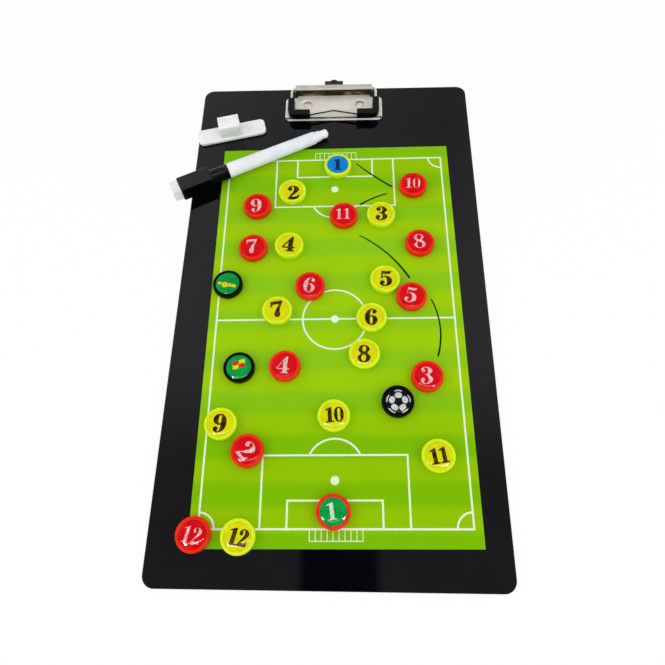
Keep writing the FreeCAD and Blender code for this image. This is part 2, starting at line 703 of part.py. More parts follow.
def build_counter():
    rim = COUNTER_DIAMETER / 2
    pocket = FERRITE_DIAMETER / 2 + COUNTER_FIT
    seat = COUNTER_HEIGHT - LABEL_RECESS
    label = LABEL_DIAMETER / 2 + COUNTER_FIT
    ceiling = seat - COUNTER_FLOOR
    outside = [(pocket, 0), (rim, 0), (rim, COUNTER_HEIGHT), (label, COUNTER_HEIGHT), (label, seat)]
    cup = turned(outside + [(0, seat), (0, ceiling), (pocket, ceiling)], Z_AXIS)
    rim_edge = max(edges_at_level(cup, COUNTER_HEIGHT), key=lambda edge: edge.Length)
    cup = cup.makeFillet(COUNTER_RIM_ROUND, [rim_edge])
    ferrite = column(FERRITE_DIAMETER, FERRITE_RECESS, ceiling)
    edge = seat + LABEL_THICKNESS
    face = column(LABEL_DIAMETER, seat, edge).fuse(dome(LABEL_DIAMETER, edge, edge + LABEL_CROWN))
    return [cup, ferrite, face.removeSplitter()]


def export_counter(name, place):
    spot = on_pitch(*place, REST_GAP)
    export(name, *[moved(solid, spot) for solid in build_counter()])


def build_counters():
    for number, place in enumerate(RED_PLACES, 1):
        export_counter(f"red_magnet_{number:02d}", place)
    for number, place in enumerate(YELLOW_PLACES, 1):
        export_counter(f"yellow_magnet_{number:02d}", place)
    for sign, place in BLACK_PLACES.items():
        export_counter(f"black_magnet_{sign}", place)


os.makedirs("parts", exist_ok=True)
build_board()
build_clip()
build_pen()
build_holder()
build_counters()
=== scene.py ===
import math

import bmesh
import bpy
from mathutils import Matrix, Quaternion, Vector, noise


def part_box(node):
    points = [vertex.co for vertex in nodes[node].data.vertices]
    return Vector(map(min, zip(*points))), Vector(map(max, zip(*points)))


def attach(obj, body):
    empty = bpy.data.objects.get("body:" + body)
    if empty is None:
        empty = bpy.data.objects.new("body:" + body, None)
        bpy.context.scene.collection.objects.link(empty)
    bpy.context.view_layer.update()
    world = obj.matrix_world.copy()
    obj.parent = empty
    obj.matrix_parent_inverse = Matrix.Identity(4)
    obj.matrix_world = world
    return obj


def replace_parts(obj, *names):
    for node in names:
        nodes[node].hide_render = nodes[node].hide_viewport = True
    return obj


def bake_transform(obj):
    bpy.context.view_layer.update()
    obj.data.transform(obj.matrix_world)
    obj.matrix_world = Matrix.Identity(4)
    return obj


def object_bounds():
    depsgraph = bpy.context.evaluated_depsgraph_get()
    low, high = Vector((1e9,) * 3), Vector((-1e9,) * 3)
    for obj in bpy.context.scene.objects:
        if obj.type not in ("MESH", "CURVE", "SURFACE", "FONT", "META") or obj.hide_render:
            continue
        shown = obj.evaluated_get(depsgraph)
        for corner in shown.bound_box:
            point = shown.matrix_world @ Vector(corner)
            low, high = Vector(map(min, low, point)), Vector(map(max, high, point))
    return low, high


mm = 0.001  # lengths in the dictionaries are in millimetres, and the studio's in metres
mergeGap = 0.001 * mm  # points closer than this are one point
cornerGap = 0.01 * mm  # a point closer than this to a corner is that corner
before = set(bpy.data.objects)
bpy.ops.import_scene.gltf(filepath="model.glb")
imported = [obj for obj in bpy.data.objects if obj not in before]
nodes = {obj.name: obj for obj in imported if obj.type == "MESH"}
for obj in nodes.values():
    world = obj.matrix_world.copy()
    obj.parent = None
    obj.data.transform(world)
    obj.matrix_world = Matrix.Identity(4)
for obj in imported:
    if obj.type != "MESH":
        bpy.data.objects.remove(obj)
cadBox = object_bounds()
finishes = bpy.data.materials
print("frame:", len(nodes), "nodes")


def inMetres(lengths):
    return [length * mm for length in lengths]


# shader maths as plain Python

class Wire:
    # one socket of a node tree
    def __init__(self, maker, socket):
        self.maker = maker
        self.socket = socket

    def maths(self, operation, first, second=0.0):
        return self.maker.node("ShaderNodeMath", {"operation": operation}, {0: first, 1: second})

    def __add__(self, other):
        return self.maths("ADD", self, other)

    def __radd__(self, other):
        return self.maths("ADD", other, self)

    def __sub__(self, other):
        return self.maths("SUBTRACT", self, other)

    def __rsub__(self, other):
        return self.maths("SUBTRACT", other, self)

    def __mul__(self, other):
        return self.maths("MULTIPLY", self, other)

    def __rmul__(self, other):
        return self.maths("MULTIPLY", other, self)

    def wave(self):
        return self.maths("SINE", self)

    def size(self):
        return self.maths("ABSOLUTE", self)

    def root(self):
        return self.maths("SQRT", self)

    def larger(self, other):
        return self.maths("MAXIMUM", self, other)

    def within(self, low, high):
        # 0 before low, 1 past high, smooth between; low may be the larger one
        settings = {"interpolation_type": "SMOOTHSTEP"}
        return self.maker.node("ShaderNodeMapRange", settings, {0: self, 1: low, 2: high})


class Finish:
    # a material, or the world, with its nodes
    def __init__(self, owner, fixed=None):
        owner.use_nodes = True
        self.owner = owner
        self.tree = owner.node_tree
        self.shader = self.tree.nodes.get("Principled BSDF") or self.tree.nodes.get("Background")
        self.feed(fixed or {})

    def node(self, kind, settings=None, inputs=None, output=0):
        made = self.tree.nodes.new(kind)
        for name, value in (settings or {}).items():
            setattr(made, name, value)
        for name, value in (inputs or {}).items():
            self.put(made.inputs[name], value)
        return Wire(self, made.outputs[output])

    def put(self, socket, value):
        if isinstance(value, Wire):
            self.tree.links.new(value.socket, socket)
        else:
            socket.default_value = value

    def feed(self, values):
        for name, value in values.items():
            self.put(self.shader.inputs[name], value)

    def place(self, centre=(0, 0, 0), turn=0.0, stretch=(1, 1, 1)):
        where = self.node("ShaderNodeTexCoord", output="Object")
        moved = self.node("ShaderNodeMapping", {"vector_type": "TEXTURE"}, {
            "Vector": where, "Location": centre, "Rotation": (0, 0, turn)})
        return self.node("ShaderNodeVectorMath", {"operation": "MULTIPLY"}, {0: moved, 1: stretch})

    def axes(self, where=None):
        where = where or self.place()
        return [self.node("ShaderNodeSeparateXYZ", inputs={0: where}, output=axis) for axis in range(3)]

    def noise(self, size, detail=2.0, where=None):
        # size is the width of one blotch, in metres
        return self.node("ShaderNodeTexNoise", inputs={
            "Vector": where or self.place(), "Scale": 1 / size, "Detail": detail})

    def mix(self, amount, first, second):
        return self.node("ShaderNodeMix", {"data_type": "RGBA"}, {0: amount, 6: first, 7: second}, 2)

    def bump(self, height, depth):
        # depth is how deep a full step looks, in metres
        self.feed({"Normal": self.node("ShaderNodeBump", inputs={
            "Height": height, "Distance": depth, "Strength": 1.0})})

    def skin(self, size, depth):
        # fine texture of a surface, in millimetres
        self.bump(self.noise(size * mm), depth * mm)


def paint(red, green, blue):
    # a screen colour, 0 to 255, as linear light
    def linear(part):
        part /= 255
        return part / 12.92 if part <= 0.04045 else ((part + 0.055) / 1.055) ** 2.4

    return (linear(red), linear(green), linear(blue), 1)


def paints(shades):
    return [paint(*shade) for shade in shades]


def finishOf(name, fixed):
    return Finish(finishes.new(name), fixed)


# smooth finishes

smoothLooks = {
    # dark and light shade, size of the blotches, size and depth of the skin, roughness and its drift
    "boardBlack": {"shades": [(4, 4, 7), (6, 6, 10)], "blotch": 45, "skin": (9, 0.0006),
                   "rough": (0.04, 0.025), "fixed": {"IOR": 1.36}},
    "backBlack": {"shades": [(13, 13, 14), (19, 19, 20)], "blotch": 30, "skin": (0.7, 0.012),
                  "rough": (0.42, 0.12)},
    "springSteel": {"shades": [(110, 110, 112), (150, 150, 152)], "blotch": 3, "skin": (0.2, 0.003),
                    "rough": (0.35, 0.15), "fixed": {"Metallic": 1.0}},
    "sheetSteel": {"shades": [(150, 151, 153), (176, 177, 178)], "blotch": 12, "skin": (0.5, 0.004),
                   "rough": (0.4, 0.15), "fixed": {"Metallic": 1.0}},
    "rivetMetal": {"shades": [(214, 209, 197), (236, 232, 221)], "blotch": 2, "skin": (0.4, 0.0015),
                   "rough": (0.42, 0.12), "fixed": {"Metallic": 0.3}},
    "darkSteel": {"shades": [(58, 50, 42), (84, 76, 66)], "blotch": 2.5, "skin": (0.3, 0.006),
                  "rough": (0.38, 0.15), "fixed": {"Metallic": 1.0}},
    "gripRubber": {"shades": [(3, 3, 3), (7, 7, 7)], "blotch": 3, "skin": (0.25, 0.006),
                   "rough": (0.4, 0.15), "fixed": {"IOR": 1.26}},
    "penWhite": {"shades": [(226, 229, 238), (240, 242, 248)], "blotch": 14, "skin": (0.6, 0.002),
                 "rough": (0.3, 0.1), "fixed": {"IOR": 1.4}},
    # the cap's clear coat on its upper part only is a painted sheen
    "penBlack": {"shades": [(4, 4, 5), (7, 7, 8)], "blotch": 9, "skin": (0.5, 0.001),
                 "rough": (0.24, 0.1), "topSheen": (13.6, 15.6),
                 "fixed": {"IOR": 1.12, "Coat IOR": 1.36, "Coat Roughness": 0.22}},
    "holderWhite": {"shades": [(234, 234, 233), (246, 246, 245)], "blotch": 10, "skin": (0.5, 0.003),
                    "rough": (0.36, 0.12), "fixed": {"IOR": 1.4}},
    "foamWhite": {"shades": [(205, 205, 202), (232, 232, 229)], "blotch": 0.5, "skin": (0.18, 0.05),
                  "rough": (0.9, 0.1)},
    "ferrite": {"shades": [(38, 37, 36), (58, 56, 54)], "blotch": 1.2, "skin": (0.15, 0.02),
                "rough": (0.7, 0.2)},
    "inkFibre": {"shades": [(20, 19, 19), (44, 42, 40)], "blotch": 0.8, "skin": (0.12, 0.01),
                 "rough": (0.8, 0.1)},
    "lineWhite": {"shades": [(222, 236, 196), (240, 246, 226)], "blotch": 1.5, "skin": (0.4, 0.001),
                  "rough": (0.3, 0.08)},
    "markerInk": {"shades": [(10, 28, 0), (24, 52, 2)], "blotch": 1.6, "skin": (0.3, 0.001),
                  "rough": (0.4, 0.2), "fixed": {"IOR": 1.1}},
}


def mottled(name, look):
    # moulded or painted surface: colour and gloss drift a little, with a fine skin texture
    made = finishOf(name, look.get("fixed"))
    drift = made.noise(look["blotch"] * mm, 3.0)
    rough, roughDrift = look["rough"]
    made.feed({
        "Base Color": made.mix(drift.within(0.3, 0.7), *paints(look["shades"])),
        "Roughness": rough + roughDrift * (drift - 0.5),
    })
    if "topSheen" in look:
        # a clear coat that begins and is full at these heights, a painted sheen that makes the top look
        # lighter than the front
        made.feed({"Coat Weight": made.axes()[2].within(*inMetres(look["topSheen"]))})
    made.skin(*look["skin"])
    return made.owner


for name, look in smoothLooks.items():
    mottled(name, look)


# felt finish

penTurn = 26.2  # how the pen lies on the board, in degrees

feltLook = {"shades": [(214, 214, 209), (244, 244, 240)], "sheen": 0.4, "rough": 0.95, "fibre": 0.35,
            "fibreDepth": 0.1, "drawn": (0.3, 1.4, 1.4), "clump": 2.1, "fineShare": 0.65}


def feltFinish(look):
    # matted fibres in clumps, drawn out along the pen
    made = finishOf("eraserFelt", {"Sheen Weight": look["sheen"], "Roughness": look["rough"]})
    along = made.place(turn=math.radians(penTurn), stretch=look["drawn"])
    fine = made.noise(look["fibre"] * mm, 6.0, along)
    coarse = made.noise(look["clump"] * mm, 3.0)
    shade = look["fineShare"] * fine + (1 - look["fineShare"]) * coarse
    made.feed({"Base Color": made.mix(shade.within(0.35, 0.62), *paints(look["shades"]))})
    made.bump(shade, look["fibreDepth"] * mm)


feltFinish(feltLook)


# plated finishes

plating = {"grain": 0.35, "grainStretch": (0.06, 1.0, 1.0), "grainRough": 0.08, "stain": 14,
           "stainRough": 0.12, "streak": 7, "streakStretch": (0.5, 1.0, 2.0)}


def platedFinish(name, look, paintedShade):
    # plated steel: faint grain along it and soft stains, and painted shade where the given mask of x, y and z
    # is 1
    made = finishOf(name, {"Metallic": look["metal"]})
    grain = made.noise(plating["grain"] * mm, 4.0, made.place(stretch=plating["grainStretch"]))
    stain = made.noise(plating["stain"] * mm, 3.0)
    streak = made.noise(plating["streak"] * mm, 2.0, made.place(stretch=plating["streakStretch"]))
    x, y, z = made.axes()
    shadeBlend = streak.within(*look["shadeBlend"])
    if "aside" in look:
        # lighter painted reflections in the painted shade, low down, to the left and right of the middle only
        near, far = inMetres(look["aside"])
        edge = look["asideEdge"] * mm
        across = x.size()
        shadeBlend = shadeBlend * across.within(near - edge, near + edge) * across.within(far + edge, far - edge)
        shadeBlend = shadeBlend * z.within(*inMetres(look["reflectionTop"]))
    bright = made.mix(stain.within(0.3, 0.7), *paints(look["bright"]))
    # the painted shade comes in two tones, mixed by the streaks
    shadeTones = made.mix(shadeBlend, *paints(look["shadeTones"]))
    rough = look["rough"] + plating["stainRough"] * (stain - 0.5) + plating["grainRough"] * (grain - 0.5)
    made.feed({"Base Color": made.mix(paintedShade(x, y, z), bright, shadeTones), "Roughness": rough})
    made.bump(grain, look["grainDepth"] * mm)


# ring and crease place painted shade on the plate
trayLook = {"metal": 0.3, "rough": 0.4, "grainDepth": 0.001, "shadeBlend": (0.5, 0.66),
            "bright": [(226, 220, 206), (240, 235, 222)], "shadeTones": [(64, 57, 45), (126, 118, 102)],
            "ring": (2.7, 4.2), "ringEdge": (0.4, 0.6), "behind": (1.2, 3.0), "crease": 1.15,
            "creaseEdge": (0.6, 0.2)}


def trayDullness(x, y, z):
    # painted shade on the far side of the two rivets' dimples, and a painted shadow line along the bend at
    # the front
    low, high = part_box("clip_rivets")
    row, column = (low.y + high.y) / 2, high.x - (high.y - low.y) / 2
    aside, ahead = x.size() - column, y - row
    away = (aside * aside + ahead * ahead).root()
    near, far = inMetres(trayLook["ring"])
    inner, outer = inMetres(trayLook["ringEdge"])
    ring = away.within(near - inner, near) * away.within(far + outer, far - outer)
    ring = ring * ahead.within(*inMetres(trayLook["behind"]))
    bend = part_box("clip_base_plate")[0].y + trayLook["crease"] * mm
    return ring.larger((y - bend).size().within(*inMetres(trayLook["creaseEdge"])))


# the front wall's dark tone is painted shade, and its lighter brown tone painted reflections
leverLook = {"metal": 1.0, "rough": 0.36, "grainDepth": 0.0006, "shadeBlend": (0.36, 0.52),
             "bright": [(208, 202, 192), (226, 220, 210)], "shadeTones": [(56, 49, 39), (150, 132, 108)],
             "aside": (10, 26), "asideEdge": 3, "reflectionTop": (10.4, 9.2),
             "wall": (0.7, 0.3), "bend": (0.8, 1.5)}


def leverDullness(x, y, z):
    # painted shade on the upright front wall, below its bend
    low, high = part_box("clip_lever")
    plated, inShade = inMetres(leverLook["wall"])
    top, bottom = inMetres(leverLook["bend"])
    return y.within(low.y + plated, low.y + inShade) * z.within(high.z - top, high.z - bottom)


# the dark tones are painted shade on the wire's lower front
wireLook = {"metal": 1.0, "rough": 0.34, "grainDepth": 0.0002, "shadeBlend": (0.5, 0.66),
            "bright": [(222, 216, 206), (240, 235, 227)], "shadeTones": [(48, 41, 33), (78, 68, 55)],
            "thick": 2.2, "front": (12, 8), "under": (1.0, 0.7)}


def wireDullness(x, y, z):
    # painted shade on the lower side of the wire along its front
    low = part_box("clip_wire_bail")[0]
    half = low.z + wireLook["thick"] / 2 * mm
    back, front = inMetres(wireLook["front"])
    top, bottom = inMetres(wireLook["under"])
    return y.within(low.y + back, low.y + front) * z.within(half + top, half + bottom)


platedFinish("nickelPlate", trayLook, trayDullness)
platedFinish("leverPlate", leverLook, leverDullness)
platedFinish("nickelWire", wireLook, wireDullness)


# pitch finish

pitchPlace = {"centre": (3.0, -21.2), "turn": 0.6}  # on the board, in millimetres and degrees

pitchLook = {
    "bandPair": 30.44, "darkAt": -0.9, "bandEdge": 0.7, "bandWander": 0.35, "wobble": 40, "wobbleShow": 0.3,
    "grain": 0.6, "grainShow": 0.35, "skin": (1.2, 0.001), "rough": (0.26, 0.1), "fixed": {"IOR": 1.13},
    # dark and light bands at the clip end, in the middle and at the other end, and where these change
    "dark": [(126, 189, 4), (138, 196, 20), (121, 183, 0)],
    "light": [(145, 194, 0), (155, 202, 4), (142, 191, 0)],
    "toMiddle": (115, 75), "toFarEnd": (-35, -100),
}


def pitchFinish(look):
    # mown bands across the pitch, paler in its middle, with print grain and wiped ink haze
    made = finishOf("pitchGreen", look["fixed"])
    x, y = inMetres(pitchPlace["centre"])
    along = made.axes(made.place((x, y, 0), math.radians(pitchPlace["turn"])))[1]
    wobble = made.noise(look["wobble"] * mm) - 0.5
    grain = made.noise(look["grain"] * mm, 4.0) - 0.5
    phase = 2 * math.pi / (look["bandPair"] * mm)
    start = 0.5 * math.pi - look["darkAt"] * mm * phase
    wave = (along * phase + start + look["bandWander"] * wobble).wave()
    band = wave.within(look["bandEdge"], -look["bandEdge"])
    band = band + look["grainShow"] * grain + look["wobbleShow"] * wobble
    toMiddle = along.within(*inMetres(look["toMiddle"]))
    toFarEnd = along.within(*inMetres(look["toFarEnd"]))
    shades = []
    for tone in ("dark", "light"):
        clipEnd, middle, farEnd = paints(look[tone])
        shades.append(made.mix(toFarEnd, made.mix(toMiddle, clipEnd, middle), farEnd))
    rough, roughDrift = look["rough"]
    made.feed({"Base Color": made.mix(band, *shades), "Roughness": rough + roughDrift * wobble})
    made.skin(*look["skin"])


pitchFinish(pitchLook)

cadFinishes = {
    "boardBlack": ["face_sheet"],
    "backBlack": ["back_board"],
    "sheetSteel": ["steel_sheet"],
    "pitchGreen": ["pitch_print"],
    "nickelPlate": ["clip_base_plate"],
    "leverPlate": ["clip_lever"],
    "nickelWire": ["clip_wire_bail", "clip_hinge_rod"],
    "springSteel": ["clip_torsion_spring"],
    "darkSteel": ["clip_hang_tab"],
    "rivetMetal": ["clip_rivets", "clip_rivet_washers"],
    "gripRubber": ["clip_grip_left", "clip_grip_right"],
    "penWhite": ["pen_barrel", "pen_end_plug"],
    "penBlack": ["pen_cap", "pen_nib_holder"],
    "inkFibre": ["pen_nib", "pen_ink_reservoir"],
    "eraserFelt": ["pen_eraser_felt"],
    "holderWhite": ["pen_holder"],
    "foamWhite": ["pen_holder_pad"],
}
for finish, names in cadFinishes.items():
    for name in names:
        nodes[name].material_slots[0].material = finishes[finish]
print("finishes:", len(finishes), "materials")


# mesh helpers

def addObject(name, data):
    made = bpy.data.objects.new(name, data)
    bpy.context.scene.collection.objects.link(made)
    return made


def addMesh(name, bm):
    mesh = bpy.data.meshes.new(name)
    bm.to_mesh(mesh)
    bm.free()
    return addObject(name, mesh)


def addPiece(name, bm, body, coats, sharp=35):
    # body is None for a piece that is attached to no body
    piece = addMesh(name, bm)
    piece.data.shade_smooth()
    piece.data.set_sharp_from_angle(angle=math.radians(sharp))
    for coat in coats:
        piece.data.materials.append(coat)
    if body:
        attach(piece, body)
    return piece


def turnedBy(degrees, axis="Z"):
    return Matrix.Rotation(math.radians(degrees), 4, axis)


def moveBy(bm, matrix):
    bmesh.ops.transform(bm, matrix=matrix, verts=bm.verts)


def bevelEdges(bm, edges, width, segments):
    bmesh.ops.bevel(bm, geom=edges, offset=width * mm, offset_type="OFFSET", affect="EDGES",
                    segments=segments, profile=0.5, material=-1)


def spun(profile, steps=72):
    # profile lists (radius, height) in millimetres, turned about Z
    bm = bmesh.new()
    line = [bm.verts.new((radius * mm, 0, height * mm)) for radius, height in profile]
    edges = [bm.edges.new(pair) for pair in zip(line, line[1:])]
    bmesh.ops.spin(bm, geom=line + edges, cent=(0, 0, 0), axis=(0, 0, 1), dvec=(0, 0, 0),
                   angle=2 * math.pi, steps=steps, use_merge=True)
    bmesh.ops.remove_doubles(bm, verts=bm.verts, dist=mergeGap)
    bmesh.ops.recalc_face_normals(bm, faces=bm.faces)
    return bm


def roundRing(bm, radius, height, width, segments):
    # rounds the ring of edges at one corner of a spun profile
    def there(vert):
        return max(abs(vert.co.xy.length - radius * mm), abs(vert.co.z - height * mm)) < cornerGap

    bevelEdges(bm, [edge for edge in bm.edges if all(map(there, edge.verts))], width, segments)


def joinInto(target, source, material=0, matrix=None):
    # copies one bmesh into another, with a material number and a place
    if matrix:
        moveBy(source, matrix)
    for face in source.faces:
        face.material_index = material
    carrier = bpy.data.meshes.new("carrier")
    source.to_mesh(carrier)
    source.free()
    target.from_mesh(carrier)
    bpy.data.meshes.remove(carrier)


def flatShape(contours, thickness, swell=0.0, resolution=8):
    # a filled flat outline as a mesh, its holes after it; each point is x, y and 1 at a corner, 0 where
    # it is smooth, and swell makes the strokes fatter or, below zero, thinner
    curve = bpy.data.curves.new("outline", "CURVE")
    curve.dimensions = "2D"
    curve.fill_mode = "BOTH"
    curve.resolution_u = resolution
    curve.extrude = thickness / 2
    curve.offset = swell
    for index, contour in enumerate(contours):
        area = sum(a[0] * b[1] - b[0] * a[1] for a, b in zip(contour, contour[1:] + contour[:1]))
        if (area > 0) == (index > 0):
            contour = contour[::-1]  # outlines run one way and holes the other
        spline = curve.splines.new("BEZIER")
        spline.bezier_points.add(len(contour) - 1)
        spline.use_cyclic_u = True
        for point, (x, y, corner) in zip(spline.bezier_points, contour):
            point.co = (x, y, 0)
            point.handle_left_type = point.handle_right_type = "VECTOR" if corner else "AUTO"
    carrier = addObject("outline", curve)
    bpy.context.view_layer.update()
    mesh = bpy.data.meshes.new_from_object(carrier)
    bm = bmesh.new()
    bm.from_mesh(mesh)
    bmesh.ops.remove_doubles(bm, verts=bm.verts, dist=1e-7)  # in the outline's own unit
    bmesh.ops.recalc_face_normals(bm, faces=bm.faces)
    bpy.data.objects.remove(carrier)
    bpy.data.curves.remove(curve)
    bpy.data.meshes.remove(mesh)
    return bm


def oval(x, y, halfWidth, halfHeight):
    # four smooth points, clockwise from the top
    return [(x, y + halfHeight, 0), (x + halfWidth, y, 0), (x, y - halfHeight, 0), (x - halfWidth, y, 0)]


# clip spring


def windSpring():
    # a copy of the spring, shaded smooth, in place of the CAD spring: foot on the tray, arm under the lever
    bm = bmesh.new()
    bm.from_mesh(nodes["clip_torsion_spring"].data)
    bmesh.ops.remove_doubles(bm, verts=bm.verts, dist=mergeGap)
    piece = addPiece("wound_spring", bm, None, [finishes["springSteel"]])
    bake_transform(piece)
    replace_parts(piece, "clip_torsion_spring")


windSpring()


# soft pieces

felt = {"tilt": 1.0365, "size": (6.8, 11.6, 11.6), "cuts": 11, "round": 5, "lump": 0.16, "lumpSize": 1.7,
        "sharp": 80}


def padFelt():
    # the wiping pad: glued flat to the cap, its other edges worn round and lumpy
    low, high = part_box("pen_eraser_felt")
    size = inMetres(felt["size"])
    bm = bmesh.new()
    bmesh.ops.create_cube(bm, size=1.0)
    bmesh.ops.subdivide_edges(bm, edges=bm.edges[:], cuts=felt["cuts"], use_grid_fill=True)
    bmesh.ops.scale(bm, vec=size, verts=bm.verts)
    glued = size[0] / 2 - mergeGap
    free = [vert for vert in bm.verts if vert.co.x < glued]
    for step in range(felt["round"]):
        bmesh.ops.smooth_vert(bm, verts=free, factor=0.5, use_axis_x=True, use_axis_y=True, use_axis_z=True)
    for vert in free:
        vert.co += vert.normal * felt["lump"] * mm * noise.noise(vert.co / (felt["lumpSize"] * mm))
    # smoothing shrinks the pad, so it is drawn out to its full size again
    spans = [[vert.co[axis] for vert in bm.verts] for axis in range(3)]
    grow = [side / (max(span) - min(span)) for side, span in zip(size, spans)]
    bmesh.ops.scale(bm, vec=grow, space=Matrix.Translation((-glued, 0, 0)), verts=bm.verts)
    place = Matrix.Translation((low + high) / 2) @ turnedBy(penTurn) @ turnedBy(felt["tilt"], "Y")
    moveBy(bm, place)
    piece = addPiece("eraser_felt_pad", bm, "pen_cap", [finishes["eraserFelt"]], felt["sharp"])
    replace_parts(piece, "pen_eraser_felt")


tape = {"turn": 13.2, "length": 55.0, "width": 13.3, "corner": 3.0, "edge": 0.2}


def padTape():
    # foam tape under the pen holder, its cut edge a little rounded
    def upright(edge):
        return abs(edge.verts[0].co.z - edge.verts[1].co.z) > mergeGap

    low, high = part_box("pen_holder_pad")
    bm = bmesh.new()
    bmesh.ops.create_cube(bm, size=1.0)
    bmesh.ops.scale(bm, vec=(tape["length"] * mm, tape["width"] * mm, high.z - low.z), verts=bm.verts)
    bevelEdges(bm, [edge for edge in bm.edges if upright(edge)], tape["corner"], segments=8)
    bevelEdges(bm, [edge for edge in bm.edges if not upright(edge)], tape["edge"], segments=3)
    place = Matrix.Translation((low + high) / 2) @ turnedBy(tape["turn"])
    moveBy(bm, place)
    piece = addPiece("holder_tape_pad", bm, "pen_holder", [finishes["foamWhite"]])
    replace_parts(piece, "pen_holder_pad")


padFelt()
padTape()
print("soft pieces: felt and tape")


# pitch markings

pitch = {
    "width": 173.0, "length": 287.0, "line": 1.25, "thickness": 0.04,
    "penaltyHalf": 47.6, "penaltyDepth": 45.8, "goalHalf": 30.5, "goalDepth": 17.2, "circle": 23.3,
    "spot": 2.9, "spotIn": 29.6, "spotLift": 0.006, "arc": 18.6, "arcIn": 38.0, "cornerArc": 10.0,
    "netX": 0.75, "netHalf": 16.75, "netDepth": 7.0, "netCells": 9, "netLine": 0.5,
    # where each corner's arc starts, in degrees, by side of the pitch and end of it
    "cornerStart": {(-1, 1): 270, (1, 1): 180, (-1, -1): 0, (1, -1): 90},
}


def addStripe(bm, x0, y0, x1, y1):
    # a flat bar between two corners, in millimetres
    scale = Matrix.Diagonal(((x1 - x0) * mm, (y1 - y0) * mm, 1, 1))
    shift = Matrix.Translation(((x0 + x1) / 2 * mm, (y0 + y1) / 2 * mm, 0))
    bmesh.ops.create_grid(bm, x_segments=1, y_segments=1, size=0.5, matrix=shift @ scale)


def addArc(bm, x, y, radius, width, start, end, steps=48):
    # a flat curved line, angles in degrees
    centre = Vector((x * mm, y * mm, 0))
    turn = Matrix.Rotation(math.radians(start), 3, "Z")
    ends = [bm.verts.new(turn @ Vector((reach * mm, 0, 0)) + centre)
            for reach in (radius - width / 2, radius + width / 2)]
    edge = bm.edges.new(ends)
    bmesh.ops.spin(bm, geom=ends + [edge], cent=centre, axis=(0, 0, 1), dvec=(0, 0, 0),
                   angle=math.radians(end - start), steps=steps, use_merge=False)


def addSpot(bm, x, y):
    # a round spot, a little over the lines
    place = Matrix.Translation(inMetres((x, y, pitch["spotLift"])))
    bmesh.ops.create_circle(bm, cap_ends=True, segments=32, radius=pitch["spot"] * mm, matrix=place)


def markBox(bm, side, halfWidth, depth):
    # the three lines of a box in front of a goal
    half = pitch["line"] / 2
    goalLine = side * pitch["length"] / 2
    front = goalLine - side * depth
    low, high = sorted((goalLine - side * half, front - side * half))
    for x in (-halfWidth, halfWidth):
        addStripe(bm, x - half, low, x + half, high)
    addStripe(bm, -halfWidth + half, front - half, halfWidth - half, front + half)


def markNet(bm, side):
    # the goal's net, in thin lines
    thin = pitch["netLine"] / 2
    goalLine = side * pitch["length"] / 2
    far = goalLine + side * pitch["netDepth"]
    low, high = sorted((goalLine + side * pitch["line"] / 2, far - side * thin))
    for cell in range(pitch["netCells"] + 1):
        x = pitch["netX"] + pitch["netHalf"] * (2 * cell / pitch["netCells"] - 1)
        addStripe(bm, x - thin, low, x + thin, high)
    reach = pitch["netHalf"] + thin
    addStripe(bm, pitch["netX"] - reach, far - thin, pitch["netX"] + reach, far + thin)


def markEnd(bm, side):
    # one end of the pitch; side is 1 at the clip end and -1 at the other
    line = pitch["line"]
    goalLine = side * pitch["length"] / 2
    markBox(bm, side, pitch["penaltyHalf"], pitch["penaltyDepth"])
    markBox(bm, side, pitch["goalHalf"], pitch["goalDepth"])
    addSpot(bm, 0, goalLine - side * pitch["spotIn"])
    edge = pitch["penaltyDepth"] + line / 2 - pitch["arcIn"]
    lean = math.degrees(math.asin(edge / pitch["arc"]))
    base = 180 if side > 0 else 0
    middle = goalLine - side * pitch["arcIn"]
    addArc(bm, 0, middle, pitch["arc"], line, base + lean, base + 180 - lean)
    gap = math.degrees(math.asin(line / 2 / pitch["cornerArc"]))
    for x in (-1, 1):
        start = pitch["cornerStart"][x, side]
        corner = x * pitch["width"] / 2
        addArc(bm, corner, goalLine, pitch["cornerArc"], line, start + gap, start + 90 - gap)
    markNet(bm, side)


def markPitch():
    line, half = pitch["line"], pitch["line"] / 2
    wide, long = pitch["width"] / 2, pitch["length"] / 2
    bm = bmesh.new()
    for side in (-1, 1):
        addStripe(bm, side * wide - half, -long - half, side * wide + half, long + half)
        addStripe(bm, -wide + half, side * long - half, wide - half, side * long + half)
        markEnd(bm, side)
    addStripe(bm, -wide + half, -half, wide - half, half)
    gap = math.degrees(math.asin(half / pitch["circle"]))
    for base in (0, 180):
        addArc(bm, 0, 0, pitch["circle"], line, base + gap, base + 180 - gap)
    addSpot(bm, 0, 0)
    layOnFilm(bm, pitch["thickness"])
    addPiece("pitch_lines", bm, "board", [finishes["lineWhite"]])


def layOnFilm(bm, thickness):
    # gives flat marks their thickness and puts them on the printed film
    bmesh.ops.recalc_face_normals(bm, faces=bm.faces)
    for face in bm.faces:
        if face.normal.z < 0:
            face.normal_flip()
    top = bmesh.ops.extrude_face_region(bm, geom=bm.faces[:])
    raised = [part for part in top["geom"] if isinstance(part, bmesh.types.BMVert)]
    bmesh.ops.translate(bm, vec=(0, 0, thickness * mm), verts=raised)
    bmesh.ops.recalc_face_normals(bm, faces=bm.faces)
    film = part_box("pitch_print")[1].z
    place = Matrix.Translation((*inMetres(pitchPlace["centre"]), film)) @ turnedBy(pitchPlace["turn"])
    moveBy(bm, place)


markPitch()

